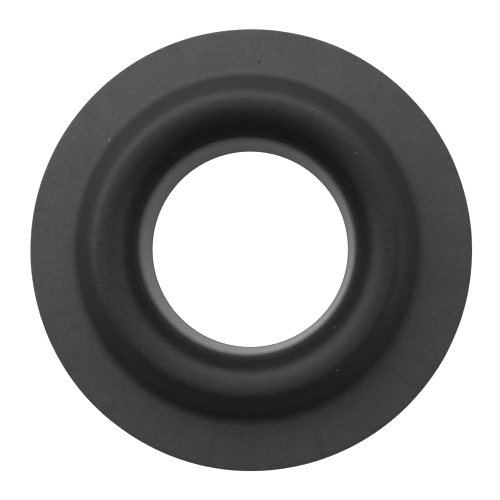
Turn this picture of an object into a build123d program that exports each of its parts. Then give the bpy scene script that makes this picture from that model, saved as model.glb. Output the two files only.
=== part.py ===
"""A toilet flange of the waxless kind: a soft moulded flange cover with a round sealing bead,
on a spoked carrier, round a smooth horn that guides the bowl's outlet into a 3 inch drain pipe.

Millimetres. The axis of the drain is Z, and +Z points up to the bowl. Z = 0 is the face that
sits on the floor flange, the underside of the floor gasket. The origin is on the drain's axis.

Assembly order: washer on the horn, horn down through the carrier, lock ring into its groove,
bead core on the carrier, cover over the horn's rim and the carrier's hoop, then the pipe seal
into the recess of the horn and the floor gasket into its channel.
"""

from build123d import *
from math import acos, atan2, cos, degrees, radians, sin, sqrt, tan
import os

# Driving dimensions
rim_radius = 70.0  # flat rim of the cover, which passes between closet bolts 152 mm apart
bore_radius = 34.0  # smooth bore of the horn
horn_wall = 2.0
rim_face_z = 7.5  # upper face of the flat rim
bead_crest_radius = 45.4  # distance of the bead's crest from the axis
bead_height = 9.5  # crest above the rim face
outer_round = 6.2  # section radius of the bead's back outside its crest
inner_round = 9.5  # the same inside its crest
flank_slope = 60.0  # steepness in degrees of the bead's back, below its outer round
foot_round = 4.0  # hollow fillet between the bead and the rim
mouth_slope = 55.0  # steepness in degrees of the funnel from the bead into the horn
mouth_round = 7.0  # section radius between the funnel and the bore
seam_radius = 35.6  # where the cover meets the horn on the funnel
skin = 2.0  # thickness of the moulded cover
blank_radius = 72.0  # cover as it leaves the mould, before its outline is trimmed
trim_offset = (1.0, -0.75)  # the outline is trimmed a little off the drain's axis
horn_end_z = -32.0  # lower end of the horn
spoke_count = 12
first_spoke_angle = 20.0

# Centres of the section's arcs, and the angles where they end
horn_radius = bore_radius + horn_wall
skin_floor_z = rim_face_z - skin
crest_z = rim_face_z + bead_height
outer_centre = (bead_crest_radius, crest_z - outer_round)
inner_centre = (bead_crest_radius, crest_z - inner_round)
flank_angle = 90 - flank_slope
foot_reach = (outer_round + foot_round) * cos(radians(flank_angle))
foot_drop = outer_centre[1] + (outer_round + foot_round) * sin(radians(flank_angle)) - rim_face_z - foot_round
foot_centre = (
    bead_crest_radius + foot_reach + foot_drop * tan(radians(flank_angle)),
    rim_face_z + foot_round,
)
mouth_angle = 90 + mouth_slope
funnel_top = (
    bead_crest_radius - inner_round * sin(radians(mouth_slope)),
    inner_centre[1] + inner_round * cos(radians(mouth_slope)),
)
mouth_radius = bore_radius + mouth_round
funnel_end = mouth_radius - mouth_round * sin(radians(mouth_slope))
funnel_end_z = funnel_top[1] - (funnel_top[0] - funnel_end) * tan(radians(mouth_slope))
mouth_centre = (mouth_radius, funnel_end_z - mouth_round * cos(radians(mouth_slope)))
seam_z = funnel_end_z + (seam_radius - funnel_end) * tan(radians(mouth_slope))
seam_back = (
    seam_radius + horn_wall * sin(radians(mouth_slope)),
    seam_z - horn_wall * cos(radians(mouth_slope)),
)
mouth_back = mouth_round - horn_wall  # section radius of the mouth's outside

# Cover
lip_radius = 40.3  # outside of the lip under the horn's mouth
lip_bottom_z = 8.0
skirt_radius = 67.6  # inside of the skirt round the carrier's hoop
skirt_bottom_z = 0.8
hook_radius = 65.0  # inner edge of the hook under the hoop
hook_top_z = 2.15
rim_edge_round = 0.6
skirt_edge_round = 0.5

# Bead core
core_gap = 0.15  # clearance to the cover's skin
core_edge_radius = 52.6

# Carrier
hub_radius = 36.4  # bore of the hub
hub_outer_radius = 38.6
hub_bottom_z = -4.4
web_top_z = skin_floor_z  # the cover lies on the web
web_bottom_z = 3.5
web_radius = 55.8
wall_bottom_z = 1.2
inner_wall = (40.4, 42.0)  # inner and outer radius of the wall inside the gasket channel
outer_wall = (53.6, 55.4)  # the same outside it
hoop = (64.9, 67.5)  # the same for the outermost wall, which the skirt hooks under
hoop_bottom_z = 2.25
spoke_width = 2.0
spoke_bottom_z = 1.6
carrier_round = 0.4

# Horn and what sits on it
shoulder_radius = 39.8
shoulder_bottom_z = 6.5
shoulder_round = 0.3
washer = (36.4, 39.6)  # inner and outer radius
groove_radius = 35.2  # floor of the lock ring's groove
groove_low_z, groove_high_z = -6.3, -4.5
recess_radius = 35.2  # floor of the pipe seal's recess
recess_low_z, recess_high_z = -29.0, -11.0
drip_lip = 0.2  # inward lip at the horn's lower end
drip_lip_height = 1.0
mouth_edge_round = 0.1
horn_end_chamfer = 0.5
fit_gap = 0.1  # clearance of pieces pushed into a groove or recess

# Pipe seal
sleeve_radius = 37.0
fin_radius = 41.0
fin_root_heights = (-14.0, -19.5, -25.0)
fin_root_half = 1.0
fin_tip_rise = 2.2  # fins sweep upwards, so that they fold as the horn enters the pipe
fin_tip_height = 1.0

# Lock ring
lock_radius = 38.3
lock_top_z = -4.6
lock_thickness = 1.6
lock_gap_angle = 20.0
lug_radius = 2.6
lug_hole_radius = 1.1
lug_inset = 0.2  # lug centre inside the ring's outer edge

# Floor gasket
gasket_gap = 0.1
gasket_round = 0.5


def on_circle(centre, radius, angle):
    """The point of a circle at an angle in degrees, measured from the outward direction."""
    return (centre[0] + radius * cos(radians(angle)), centre[1] + radius * sin(radians(angle)))


def arc(centre, radius, start, end):
    """The arc of a circle between two angles, for the open sketch."""
    middle = on_circle(centre, radius, (start + end) / 2)
    return ThreePointArc(on_circle(centre, radius, start), middle, on_circle(centre, radius, end))


def bead_back(offset, start):
    """The back of the bead from the rim to the crest, inside the cover by an offset."""
    foot_end = on_circle(foot_centre, foot_round + offset, flank_angle - 180)
    arc(foot_centre, foot_round + offset, start, flank_angle - 180)
    Line(foot_end, on_circle(outer_centre, outer_round - offset, flank_angle))
    arc(outer_centre, outer_round - offset, flank_angle, 90)


def angle_at_radius(centre, radius, distance, below=False):
    """The angle of the point of a circle at a distance from the drain's axis."""
    angle = degrees(acos((distance - centre[0]) / radius))
    return -angle if below else angle


def angle_at_height(centre, radius, height):
    """The angle of the inward point of a circle at a height."""
    return 180 - degrees(atan2(height - centre[1], sqrt(radius**2 - (height - centre[1]) ** 2)))


def spin(section):
    """The solid of revolution of a section drawn in radius and height."""
    return revolve(section, axis=Axis.Z)


def ring(inner, outer, low, high):
    """A plain ring between two radii and two heights."""
    section = Plane.XZ * Pos((inner + outer) / 2, (low + high) / 2) * Rectangle(outer - inner, high - low)
    return spin(section)


def rim_edges(part, radius, height):
    """The round edges of a part at one radius and height."""
    found = part.edges().filter_by(GeomType.CIRCLE)
    return [e for e in found if abs(e.radius - radius) < 0.01 and abs(e.center().Z - height) < 0.01]


def make_flange_cover():
    """Soft moulded skin: flat rim, hollow bead, lip under the horn's mouth, skirt round the hoop."""
    belly_end = angle_at_radius(inner_centre, inner_round - skin, lip_radius)
    lip_start = angle_at_height(mouth_centre, mouth_back, lip_bottom_z)
    with BuildPart() as cover:
        with BuildSketch(Plane.XZ):
            with BuildLine():
                Polyline(
                    on_circle(foot_centre, foot_round, -90),
                    (blank_radius, rim_face_z),
                    (blank_radius, skirt_bottom_z),
                    (hook_radius, skirt_bottom_z),
                    (hook_radius, hook_top_z),
                    (skirt_radius, hook_top_z),
                    (skirt_radius, skin_floor_z),
                    on_circle(foot_centre, foot_round + skin, -90),
                )
                bead_back(skin, -90)
                arc(inner_centre, inner_round - skin, 90, belly_end)
                Polyline(
                    on_circle(inner_centre, inner_round - skin, belly_end),
                    (lip_radius, lip_bottom_z),
                    on_circle(mouth_centre, mouth_back, lip_start),
                )
                arc(mouth_centre, mouth_back, lip_start, mouth_angle)
                Polyline(
                    on_circle(mouth_centre, mouth_back, mouth_angle),
                    seam_back,
                    (seam_radius, seam_z),
                    funnel_top,
                )
                arc(inner_centre, inner_round, mouth_angle, 90)
                bead_back(0, -90)
            make_face()
        revolve(axis=Axis.Z)
        with Locations(trim_offset):
            Cylinder(rim_radius, 3 * crest_z, mode=Mode.INTERSECT)
        fillet(rim_edges(cover.part, rim_radius, rim_face_z), rim_edge_round)
        fillet(rim_edges(cover.part, rim_radius, skirt_bottom_z), skirt_edge_round)
    return cover.part


def make_bead_core():
    """Closed-cell foam ring that fills the bead and presses it up against the bowl."""
    inner_edge = lip_radius + core_gap
    foot_side = foot_round + skin + core_gap
    inner_back = inner_round - skin - core_gap
    foot_end = angle_at_radius(foot_centre, foot_side, core_edge_radius, below=True)
    back_end = angle_at_radius(inner_centre, inner_back, inner_edge)
    with BuildPart() as core:
        with BuildSketch(Plane.XZ):
            with BuildLine():
                bead_back(skin + core_gap, foot_end)
                Polyline(
                    on_circle(foot_centre, foot_side, foot_end),
                    (core_edge_radius, web_top_z),
                    (inner_edge, web_top_z),
                    on_circle(inner_centre, inner_back, back_end),
                )
                arc(inner_centre, inner_back, back_end, 90)
            make_face()
        revolve(axis=Axis.Z)
    return core.part


def make_carrier_ring():
    """Stiff moulded ring: hub, web, gasket channel, twelve spokes and the hoop that holds the skirt."""
    carrier = ring(hub_radius, web_radius, web_bottom_z, web_top_z)
    carrier += ring(hub_radius, hub_outer_radius, hub_bottom_z, web_top_z)
    carrier += ring(*inner_wall, wall_bottom_z, web_bottom_z)
    carrier += ring(*outer_wall, wall_bottom_z, web_bottom_z)
    carrier += ring(*hoop, hoop_bottom_z, web_top_z)
    spoke_inner = outer_wall[0] + 0.5
    spoke_outer = hoop[0] + 0.5
    deep_end = hoop[0] - 0.2  # the deep part of a spoke stops short of the cover's hook
    for number in range(spoke_count):
        flat = Box(
            spoke_outer - spoke_inner,
            spoke_width,
            web_top_z - hoop_bottom_z,
            align=(Align.MIN, Align.CENTER, Align.MIN),
        )
        deep = Box(
            deep_end - spoke_inner,
            spoke_width,
            hoop_bottom_z - spoke_bottom_z,
            align=(Align.MIN, Align.CENTER, Align.MIN),
        )
        spoke = Pos(spoke_inner, 0, hoop_bottom_z) * flat + Pos(spoke_inner, 0, spoke_bottom_z) * deep
        carrier += Rot(0, 0, first_spoke_angle + number * 360 / spoke_count) * spoke
    carrier = fillet(rim_edges(carrier, hoop[1], web_top_z), carrier_round)
    return fillet(rim_edges(carrier, hoop[1], hoop_bottom_z), carrier_round)


def make_drain_horn():
    """Smooth flared tube from the bowl into the pipe, with a shoulder, a groove and a recess."""
    with BuildPart() as tube:
        with BuildSketch(Plane.XZ):
            with BuildLine():
                arc(mouth_centre, mouth_round, 180, mouth_angle)
                Polyline(
                    on_circle(mouth_centre, mouth_round, mouth_angle),
                    (seam_radius, seam_z),
                    seam_back,
                    on_circle(mouth_centre, mouth_back, mouth_angle),
                )
                arc(mouth_centre, mouth_back, mouth_angle, 180)
                Polyline(
                    (horn_radius, mouth_centre[1]),
                    (horn_radius, horn_end_z),
                    (bore_radius - drip_lip, horn_end_z),
                    (bore_radius - drip_lip, horn_end_z + drip_lip_height),
                    (bore_radius, horn_end_z + drip_lip_height),
                    (bore_radius, mouth_centre[1]),
                )
            make_face()
        revolve(axis=Axis.Z)
        fillet(rim_edges(tube.part, seam_radius, seam_z), mouth_edge_round)
        chamfer(rim_edges(tube.part, horn_radius, horn_end_z), horn_end_chamfer)
    shoulder = ring(horn_radius - horn_wall / 4, shoulder_radius, shoulder_bottom_z, lip_bottom_z)
    horn = tube.part + fillet(rim_edges(shoulder, shoulder_radius, lip_bottom_z), shoulder_round)
    horn -= ring(groove_radius, horn_radius + 1, groove_low_z, groove_high_z)
    return horn - ring(recess_radius, horn_radius + 1, recess_low_z, recess_high_z)


def make_horn_washer():
    """Flat rubber washer under the horn's shoulder."""
    return ring(*washer, web_top_z, shoulder_bottom_z)


def make_lock_ring():
    """Open spring-steel ring with two plier lugs, which holds the horn down in the carrier."""
    lock_bottom_z = lock_top_z - lock_thickness
    lock = ring(groove_radius + fit_gap, lock_radius, lock_bottom_z, lock_top_z)
    reach = 2 * lock_radius
    half_gap = radians(lock_gap_angle / 2)
    opening = Polyline(
        (0, 0),
        (reach * cos(half_gap), reach * sin(half_gap)),
        (reach * cos(half_gap), -reach * sin(half_gap)),
        close=True,
    )
    lock -= Pos(0, 0, lock_bottom_z) * extrude(make_face(opening), lock_thickness)
    lug_angle = half_gap + lug_radius / lock_radius
    for side in (1, -1):
        place = Pos(
            (lock_radius - lug_inset) * cos(lug_angle),
            side * (lock_radius - lug_inset) * sin(lug_angle),
            (lock_bottom_z + lock_top_z) / 2,
        )
        lug = place * Cylinder(lug_radius, lock_thickness)
        lug -= ring(groove_radius - 5, groove_radius + fit_gap, lock_bottom_z, lock_top_z)
        lock += lug
        lock -= place * Cylinder(lug_hole_radius, lock_thickness)
    return lock


def make_pipe_seal():
    """Soft sleeve with three swept fins that wipe the inside of the drain pipe."""
    sleeve = ring(
        recess_radius + fit_gap / 2, sleeve_radius, recess_low_z + fit_gap, recess_high_z - fit_gap
    )
    for root_z in fin_root_heights:
        fin = Plane.XZ * make_face(
            Polyline(
                (sleeve_radius - 0.5, root_z - fin_root_half),
                (sleeve_radius, root_z - fin_root_half),
                (fin_radius, root_z + fin_tip_rise - fin_tip_height / 2),
                (fin_radius, root_z + fin_tip_rise + fin_tip_height / 2),
                (sleeve_radius, root_z + fin_root_half),
                (sleeve_radius - 0.5, root_z + fin_root_half),
                close=True,
            )
        )
        sleeve += spin(fin)
    return sleeve


def make_floor_gasket():
    """Foam ring in the carrier's channel, which seals on the floor flange."""
    gasket = ring(inner_wall[1] + gasket_gap, outer_wall[0] - gasket_gap, 0, web_bottom_z)
    gasket = fillet(rim_edges(gasket, inner_wall[1] + gasket_gap, 0), gasket_round)
    return fillet(rim_edges(gasket, outer_wall[0] - gasket_gap, 0), gasket_round)


pieces = {
    "flange_cover": make_flange_cover,
    "bead_core": make_bead_core,
    "carrier_ring": make_carrier_ring,
    "drain_horn": make_drain_horn,
    "horn_washer": make_horn_washer,
    "lock_ring": make_lock_ring,
    "pipe_seal": make_pipe_seal,
    "floor_gasket": make_floor_gasket,
}

os.makedirs("parts", exist_ok=True)
for name, make in pieces.items():
    export_step(make(), f"parts/{name}.step")
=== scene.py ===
from math import acos, atan2, cos, degrees, pi, radians, sin, sqrt, tan

import bpy
from mathutils import Matrix, Vector


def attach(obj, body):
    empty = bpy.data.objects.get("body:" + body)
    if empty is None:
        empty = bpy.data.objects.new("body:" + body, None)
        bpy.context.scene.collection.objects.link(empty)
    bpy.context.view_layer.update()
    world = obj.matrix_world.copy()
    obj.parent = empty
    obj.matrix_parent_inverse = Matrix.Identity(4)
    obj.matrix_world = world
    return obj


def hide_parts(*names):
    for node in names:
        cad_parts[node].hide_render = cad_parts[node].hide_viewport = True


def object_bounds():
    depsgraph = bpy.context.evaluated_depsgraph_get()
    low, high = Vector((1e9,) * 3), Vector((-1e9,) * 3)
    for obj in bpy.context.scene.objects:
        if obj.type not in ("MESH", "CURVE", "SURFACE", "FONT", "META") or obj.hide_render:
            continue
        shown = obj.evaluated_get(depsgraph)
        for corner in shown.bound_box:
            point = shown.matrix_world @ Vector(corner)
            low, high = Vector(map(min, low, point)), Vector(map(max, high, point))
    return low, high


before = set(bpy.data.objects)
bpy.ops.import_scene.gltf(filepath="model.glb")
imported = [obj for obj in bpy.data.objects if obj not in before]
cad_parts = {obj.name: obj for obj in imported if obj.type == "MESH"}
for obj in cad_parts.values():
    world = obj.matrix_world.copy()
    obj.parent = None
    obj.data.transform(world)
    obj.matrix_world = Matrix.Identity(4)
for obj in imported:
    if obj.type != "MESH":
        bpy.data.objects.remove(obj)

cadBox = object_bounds()
mm = 0.001
print("frame loaded:", ", ".join(sorted(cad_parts)))


# Section drawing: every ring starts as a closed outline of points (radius, height) in millimetres,
# run anticlockwise so that the turned surface faces outwards

def onCircle(centre, radius, angle):
    return (centre[0] + radius * cos(radians(angle)), centre[1] + radius * sin(radians(angle)))


def arcRun(centre, radius, start, end, step=4.0):
    count = max(2, round(abs(end - start) / step))
    return [onCircle(centre, radius, start + (end - start) * n / count) for n in range(count + 1)]


def cornerRun(before, corner, after, rounding, count=5):
    # the points of a rounded corner between two straight runs
    a = (Vector(before) - Vector(corner)).normalized()
    b = (Vector(after) - Vector(corner)).normalized()
    half = a.angle(b) / 2
    middle = Vector(corner) + (a + b).normalized() * rounding / sin(half)
    first = Vector(corner) + a * rounding * cos(half) / sin(half) - middle
    last = Vector(corner) + b * rounding * cos(half) / sin(half) - middle
    points = []
    for n in range(count + 1):
        points.append(tuple(middle + first.slerp(last, n / count).normalized() * rounding))
    return points


def roundedOutline(corners):
    # corners are (radius, height, rounding)
    points = []
    for n, (radius, height, rounding) in enumerate(corners):
        before, after = corners[n - 1], corners[(n + 1) % len(corners)]
        if rounding:
            points += cornerRun(before[:2], (radius, height), after[:2], rounding)
        else:
            points.append((radius, height))
    return points


def straightRun(start, end, step):
    # points between the ends of a straight run, without either end
    count = max(1, round((Vector(end) - Vector(start)).length / step))
    return [tuple(Vector(start).lerp(Vector(end), n / count)) for n in range(1, count)]


def divided(points, step):
    # straight runs longer than the step get points of their own
    result = []
    for n, point in enumerate(points):
        result += [point] + straightRun(point, points[(n + 1) % len(points)], step)
    return result


# Geometry Nodes helpers

def newTree(name, inputs):
    tree = bpy.data.node_groups.new(name, "GeometryNodeTree")
    tree.interface.new_socket("Geometry", in_out="INPUT", socket_type="NodeSocketGeometry")
    for label, kind, value in inputs:
        socket = tree.interface.new_socket(label, in_out="INPUT", socket_type=kind)
        if value is not None:
            socket.default_value = value
    tree.interface.new_socket("Geometry", in_out="OUTPUT", socket_type="NodeSocketGeometry")
    return tree, tree.nodes.new("NodeGroupInput"), tree.nodes.new("NodeGroupOutput")


def place(tree, kind, values=None, **settings):
    # one node, with its settings and the values or links of its inputs
    node = tree.nodes.new(kind)
    for key, value in settings.items():
        setattr(node, key, value)
    for key, value in (values or {}).items():
        if isinstance(value, bpy.types.NodeSocket):
            tree.links.new(value, node.inputs[key])
        else:
            node.inputs[key].default_value = value
    return node


def calc(tree, operation, *values):
    # a Math node, given sockets or numbers
    node = place(tree, "ShaderNodeMath", dict(enumerate(values)), operation=operation)
    return node.outputs[0]


def plus(tree, *values):
    return calc(tree, "ADD", *values)


def minus(tree, *values):
    return calc(tree, "SUBTRACT", *values)


def times(tree, first, *others):
    for value in others:
        first = calc(tree, "MULTIPLY", first, value)
    return first


def splitPoint(tree, point):
    parts = place(tree, "ShaderNodeSeparateXYZ", {"Vector": point}).outputs
    return parts["X"], parts["Y"], parts["Z"]


def axisDistance(tree, x, y):
    return calc(tree, "SQRT", plus(tree, times(tree, x, x), times(tree, y, y)))


def seededNoise(tree, point, seed, scale, detail=2.0):
    return place(tree, "ShaderNodeTexNoise", {
        "Vector": point, "W": seed, "Scale": scale, "Detail": detail,
    }, noise_dimensions="4D").outputs["Fac"]


def shifted(tree, geometry, offset):
    return place(tree, "GeometryNodeSetPosition", {"Geometry": geometry, "Offset": offset}).outputs[0]


def upwards(tree, rise):
    return place(tree, "ShaderNodeCombineXYZ", {"Z": rise}).outputs[0]


def endTree(tree, geometry, material, result):
    whole = place(tree, "GeometryNodeRealizeInstances", {"Geometry": geometry}).outputs[0]
    finished = place(tree, "GeometryNodeSetMaterial", {"Geometry": whole, "Material": material}).outputs[0]
    tree.links.new(finished, result.inputs[0])
    return tree


def applyTree(piece, tree, values):
    modifier = piece.modifiers.new(tree.name, "NODES")
    modifier.node_group = tree
    sockets = {s.name: s.identifier for s in tree.interface.items_tree if s.in_out == "INPUT"}
    for label, value in values.items():
        modifier[sockets[label]] = value
    depsgraph = bpy.context.evaluated_depsgraph_get()
    mesh = bpy.data.meshes.new_from_object(piece.evaluated_get(depsgraph))
    piece.modifiers.remove(modifier)
    piece.data = mesh
    mesh.name = piece.name
    return piece


def outlinePiece(name, outline):
    # the section's outline as a mesh, ready for a tree to turn it
    mesh = bpy.data.meshes.new(name)
    points = [(radius * mm, 0.0, height * mm) for radius, height in outline]
    mesh.from_pydata(points, [(n, (n + 1) % len(points)) for n in range(len(points))], [])
    piece = bpy.data.objects.new(name, mesh)
    bpy.context.collection.objects.link(piece)
    return piece


def finishPiece(piece, slot, *nodes):
    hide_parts(*nodes)
    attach(piece, "root")
    print(f"{piece.name}: {len(piece.data.polygons)} faces")


# The tree that turns an outline round the drain's axis

def makeTurnTree():
    tree, given, result = newTree("turn round the axis", [
        ("Segments", "NodeSocketInt", 256),
        ("Sharp Angle", "NodeSocketFloat", radians(35)),
        ("Material", "NodeSocketMaterial", None),
    ])
    outline = given.outputs["Geometry"]
    segments = given.outputs["Segments"]
    count = place(tree, "GeometryNodeAttributeDomainSize", {"Geometry": outline}).outputs["Point Count"]
    perRing = plus(tree, count, 1)
    grid = place(tree, "GeometryNodeMeshGrid", {
        "Vertices X": plus(tree, segments, 1), "Vertices Y": perRing,
    }).outputs["Mesh"]
    index = place(tree, "GeometryNodeInputIndex").outputs[0]
    ringNumber = calc(tree, "FLOOR", calc(tree, "DIVIDE", plus(tree, index, 0.5), perRing))
    along = minus(tree, index, times(tree, ringNumber, perRing))
    wrapped = calc(tree, "MODULO", plus(tree, along, 0.1), count)
    point = place(tree, "GeometryNodeSampleIndex", {
        "Geometry": outline,
        "Value": place(tree, "GeometryNodeInputPosition").outputs[0],
        "Index": calc(tree, "FLOOR", wrapped),
    }, data_type="FLOAT_VECTOR", domain="POINT").outputs["Value"]
    section = place(tree, "ShaderNodeSeparateXYZ", {"Vector": point})
    angle = times(tree, calc(tree, "DIVIDE", ringNumber, segments), 2 * pi)
    turned = place(tree, "ShaderNodeCombineXYZ", {
        "X": times(tree, section.outputs["X"], calc(tree, "COSINE", angle)),
        "Y": times(tree, section.outputs["X"], calc(tree, "SINE", angle)),
        "Z": section.outputs["Z"],
    }).outputs[0]
    moved = place(tree, "GeometryNodeSetPosition", {"Geometry": grid, "Position": turned}).outputs[0]
    closed = place(tree, "GeometryNodeMergeByDistance", {"Geometry": moved, "Distance": 1e-6}).outputs[0]
    faces = place(tree, "GeometryNodeSetShadeSmooth", {"Geometry": closed, "Shade Smooth": True}).outputs[0]
    bend = place(tree, "GeometryNodeInputMeshEdgeAngle").outputs["Unsigned Angle"]
    edges = place(tree, "GeometryNodeSetShadeSmooth", {
        "Geometry": faces,
        "Selection": place(tree, "FunctionNodeCompare", {"A": bend, "B": given.outputs["Sharp Angle"]},
                           data_type="FLOAT", operation="GREATER_THAN").outputs[0],
        "Shade Smooth": False,
    }, domain="EDGE").outputs[0]
    return endTree(tree, edges, given.outputs["Material"], result)


turnTree = makeTurnTree()


def turnedOutline(tree, inputs):
    # the turning tree inside another piece's tree
    return place(tree, "GeometryNodeGroup", {
        "Geometry": inputs["Geometry"], "Segments": inputs["Segments"], "Material": inputs["Material"],
    }, node_tree=turnTree).outputs[0]


# Shader helpers

def newGroup(name, inputs, outputs):
    group = bpy.data.node_groups.new(name, "ShaderNodeTree")
    for label, kind, value in inputs:
        socket = group.interface.new_socket(label, in_out="INPUT", socket_type=kind)
        socket.default_value = value
    for label, kind in outputs:
        group.interface.new_socket(label, in_out="OUTPUT", socket_type=kind)
    return group, group.nodes.new("NodeGroupInput"), group.nodes.new("NodeGroupOutput")


def useGroup(tree, group, **values):
    # places a group; underscores in the names stand for spaces
    return place(tree, "ShaderNodeGroup", node_tree=group, values={
        key.replace("_", " "): value for key, value in values.items()
    }).outputs


def ramp(tree, value, low, high, start=0.0, end=1.0):
    return place(tree, "ShaderNodeMapRange", {
        "Value": value, "From Min": low, "From Max": high, "To Min": start, "To Max": end,
    }, interpolation_type="SMOOTHSTEP").outputs["Result"]


def mixColour(tree, factor, first, second):
    node = tree.nodes.new("ShaderNodeMix")
    node.data_type = "RGBA"
    for socket, value in ((node.inputs[0], factor), (node.inputs[6], first), (node.inputs[7], second)):
        if isinstance(value, bpy.types.NodeSocket):
            tree.links.new(value, socket)
        else:
            socket.default_value = value
    return node.outputs[2]


def grey(value, tint=0.0):
    # a neutral colour, a little bluer where the tint is above nought
    return (value, value, value * (1 + tint), 1.0)


def objectPoint(tree):
    return place(tree, "ShaderNodeTexCoord").outputs["Object"]


def noise(tree, point, scale, detail=2.0, roughness=0.5):
    return place(tree, "ShaderNodeTexNoise", {
        "Vector": point, "Scale": scale, "Detail": detail, "Roughness": roughness,
    }).outputs["Fac"]


# Shared finishes

def makeGrainGroup():
    # small soft bumps of a moulded surface, over a coarser unevenness
    group, given, result = newGroup("moulded grain", [
        ("Grain Size", "NodeSocketFloat", 0.0006), ("Coarse Share", "NodeSocketFloat", 0.35),
    ], [("Height", "NodeSocketFloat"), ("Shade", "NodeSocketFloat")])
    point = objectPoint(group)
    scale = calc(group, "DIVIDE", 1.0, given.outputs["Grain Size"])
    cells = place(group, "ShaderNodeTexVoronoi", {
        "Vector": point, "Scale": scale, "Smoothness": 1.0, "Randomness": 1.0,
    }, feature="SMOOTH_F1").outputs["Distance"]
    fine = noise(group, point, times(group, scale, 2.2), 3.0)
    coarse = noise(group, point, times(group, scale, 0.16), 2.0)
    bumps = plus(group, times(group, cells, 0.8), times(group, fine, 0.4))
    share = times(group, coarse, given.outputs["Coarse Share"])
    height = plus(group, bumps, share)
    group.links.new(height, result.inputs["Height"])
    group.links.new(ramp(group, height, 0.2, 1.0), result.inputs["Shade"])
    return group


def makeMottleGroup():
    # broad uneven tone, as rubber and plastic show where the melt met
    group, given, result = newGroup("uneven tone", [
        ("Colour", "NodeSocketColor", grey(0.05)), ("Patch Size", "NodeSocketFloat", 0.01),
        ("Contrast", "NodeSocketFloat", 0.15), ("Speckle", "NodeSocketFloat", 0.0),
    ], [("Colour", "NodeSocketColor"), ("Mask", "NodeSocketFloat"), ("Fleck", "NodeSocketFloat")])
    point = objectPoint(group)
    scale = calc(group, "DIVIDE", 1.0, given.outputs["Patch Size"])
    broad = noise(group, point, scale, 4.0, 0.6)
    tight = noise(group, point, times(group, scale, 14.0), 2.0, 0.6)
    blend = plus(group, times(group, broad, 0.65), times(group, tight, 0.35))
    mask = ramp(group, blend, 0.3, 0.7)
    swing = times(group, minus(group, mask, 0.5), given.outputs["Contrast"])
    fleckScale = 1500.0
    fleck = minus(group, noise(group, point, fleckScale, 3.0, 0.75), 0.5)
    flecks = times(group, fleck, given.outputs["Speckle"])
    brighter = plus(group, plus(group, 1.0, swing), flecks)
    scaled = place(group, "ShaderNodeVectorMath", {0: given.outputs["Colour"]}, operation="SCALE")
    group.links.new(brighter, scaled.inputs["Scale"])
    group.links.new(scaled.outputs[0], result.inputs["Colour"])
    group.links.new(mask, result.inputs["Mask"])
    group.links.new(fleck, result.inputs["Fleck"])
    return group


def makeScuffGroup():
    # sparse fine rubs and scratches in two directions, only where a broad patch allows them
    group, given, result = newGroup("fine scuffs", [
        ("Line Width", "NodeSocketFloat", 0.0002), ("Amount", "NodeSocketFloat", 0.2),
    ], [("Mask", "NodeSocketFloat")])
    point = objectPoint(group)
    scale = calc(group, "DIVIDE", 1.0, given.outputs["Line Width"])
    threshold = minus(group, 0.78, times(group, given.outputs["Amount"], 0.2))
    lineMask = None
    for turn in (0.6, 2.1):
        turned = place(group, "ShaderNodeMapping", {
            "Vector": point, "Rotation": (0.0, 0.0, turn), "Scale": (1.0, 0.045, 0.3),
        }).outputs[0]
        lines = noise(group, turned, scale, 1.0)
        mask = ramp(group, lines, threshold, plus(group, threshold, 0.06))
        lineMask = mask if lineMask is None else calc(group, "MAXIMUM", lineMask, mask)
    patch = ramp(group, noise(group, point, times(group, scale, 0.02), 2.0), 0.45, 0.65)
    group.links.new(times(group, lineMask, patch), result.inputs["Mask"])
    return group


def makeDustGroup():
    # a few pale specks
    group, given, result = newGroup("dust specks", [
        ("Spacing", "NodeSocketFloat", 0.006), ("Speck Size", "NodeSocketFloat", 0.00025),
        ("Amount", "NodeSocketFloat", 0.3),
    ], [("Mask", "NodeSocketFloat")])
    point = objectPoint(group)
    spots = place(group, "ShaderNodeTexVoronoi", {
        "Vector": point, "Scale": calc(group, "DIVIDE", 1.0, given.outputs["Spacing"]),
    }, feature="F1")
    across = times(group, spots.outputs["Distance"], given.outputs["Spacing"])
    small = ramp(group, across, given.outputs["Speck Size"], 0.0)
    chosen = place(group, "ShaderNodeSeparateColor", {"Color": spots.outputs["Color"]}).outputs[0]
    kept = calc(group, "LESS_THAN", chosen, given.outputs["Amount"])
    group.links.new(times(group, small, kept), result.inputs["Mask"])
    return group


def makeFoamGroup():
    # closed cells of two sizes; the Shade output is low in the cell hollows, for painted shade
    group, given, result = newGroup("foam cells", [
        ("Cell Size", "NodeSocketFloat", 0.0005),
    ], [("Height", "NodeSocketFloat"), ("Shade", "NodeSocketFloat")])
    point = objectPoint(group)
    scale = calc(group, "DIVIDE", 1.0, given.outputs["Cell Size"])
    large = place(group, "ShaderNodeTexVoronoi", {"Vector": point, "Scale": scale}, feature="F1")
    small = place(group, "ShaderNodeTexVoronoi", {
        "Vector": point, "Scale": times(group, scale, 2.3),
    }, feature="F1")
    depth = plus(group, large.outputs["Distance"], times(group, small.outputs["Distance"], 0.5))
    group.links.new(depth, result.inputs["Height"])
    group.links.new(ramp(group, depth, 0.15, 0.9), result.inputs["Shade"])
    return group


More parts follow.
